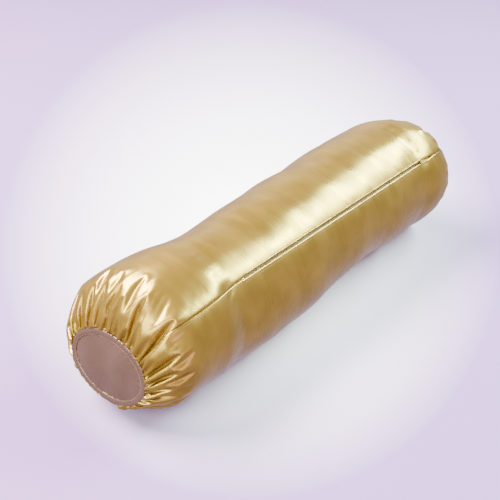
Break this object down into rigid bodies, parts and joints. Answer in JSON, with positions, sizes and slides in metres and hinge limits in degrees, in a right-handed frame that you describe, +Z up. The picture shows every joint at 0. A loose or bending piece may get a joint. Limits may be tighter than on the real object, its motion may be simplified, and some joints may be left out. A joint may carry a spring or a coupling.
{
  "type": "bolster pillow",
  "caption": "Round stuffed bolster pillow in a gold satin cover with gathered ends, flat round end panels and a coil zip behind a raised lip in its long seam.",
  "frame": {"origin": "on the ground under the middle of the bolster, at the bottom centre of its box", "axes": "+X along the bolster from its front, gathered end to its rear end, +Z up; the zip faces up and towards -Y"},
  "size_m": [0.66, 0.19, 0.1851],
  "materials": {
    "satin": "satin",
    "elastic_band": "matte",
    "thread": "satin",
    "zip_tape": "matte",
    "zip_coil": "satin",
    "zip_metal": "satin",
    "ticking": "matte",
    "fibre": "matte"
  },
  "bodies": {
    "bolster": {"cover_tube": "satin", "front_end_panel": "satin", "rear_end_panel": "satin", "front_hem_casing": "satin", "rear_hem_casing": "satin", "front_elastic": "elastic_band", "rear_elastic": "elastic_band", "front_hem_stitching": "thread", "rear_hem_stitching": "thread", "seam_lip": "satin", "upper_zip_facing": "satin", "lower_zip_facing": "satin", "zip_stitching": "thread", "long_seam_stitching": "thread", "upper_zip_tape": "zip_tape", "lower_zip_tape": "zip_tape", "upper_zip_coil": "zip_coil", "lower_zip_coil": "zip_coil", "zip_top_stops": "zip_metal", "zip_bottom_stop": "zip_metal", "inner_casing_tube": "ticking", "inner_front_panel": "ticking", "inner_rear_panel": "ticking", "fibre_filling": "fibre"},
    "slider": {"zip_slider": "zip_metal"},
    "pull": {"zip_pull": "zip_metal", "zip_pull_pin": "zip_metal"}
  },
  "joints": [
    {"name": "zip_travel", "type": "slide", "parent": "bolster", "child": "slider", "axis": [-1, 0, 0], "range_m": [0, 0.417]},
    {"name": "pull_swing", "type": "hinge", "parent": "slider", "child": "pull", "pos_m": [0.264, -0.07238, 0.15305], "axis": [0, 0.6561, 0.7547], "range_deg": [0, 150]}
  ]
}
